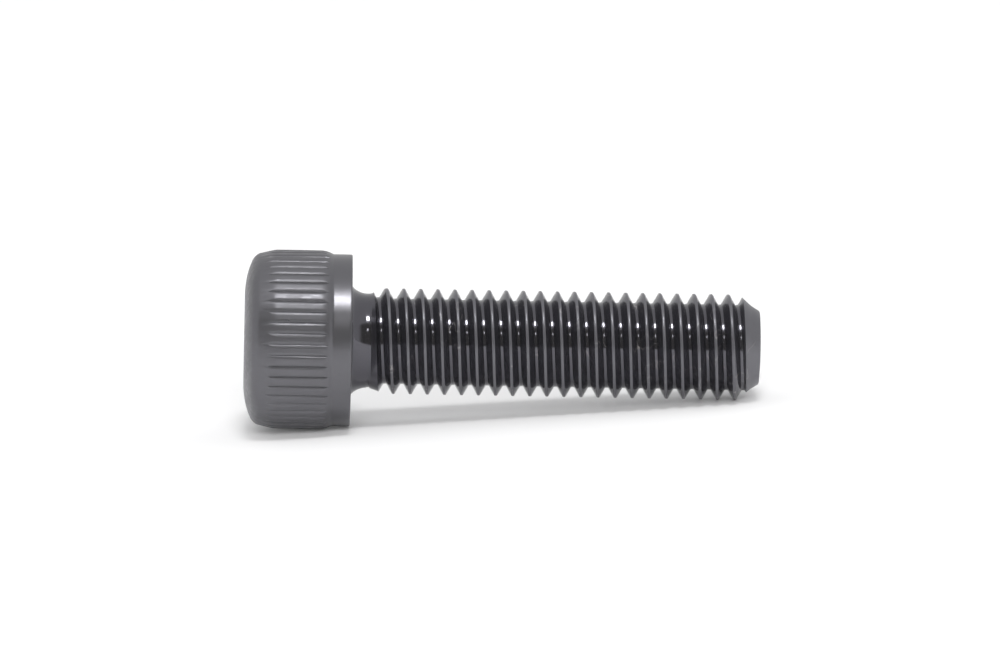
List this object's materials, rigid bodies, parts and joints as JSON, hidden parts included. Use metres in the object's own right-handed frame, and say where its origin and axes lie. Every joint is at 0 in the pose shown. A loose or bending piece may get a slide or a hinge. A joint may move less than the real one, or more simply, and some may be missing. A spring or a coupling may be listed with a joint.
{
  "type": "bolt",
  "caption": "Black-oxide socket head cap screw: a knurled cylindrical head with a hexagon recess over a fully threaded shank, made to clamp parts in a tapped hole or with a nut.",
  "frame": {"origin": "centre of the head's end face, on the surface that the bolt stands on", "axes": "+Z along the shank's axis, from the head's end face to the tip; two of the socket's corners lie on the X axis"},
  "size_m": [0.0132, 0.0132, 0.0378],
  "materials": {
    "black_steel": "black oxide, lightly oiled, worn to grey on the lands and crests"
  },
  "bodies": {
    "root": {"bolt": "black_steel"}
  },
  "joints": []
}
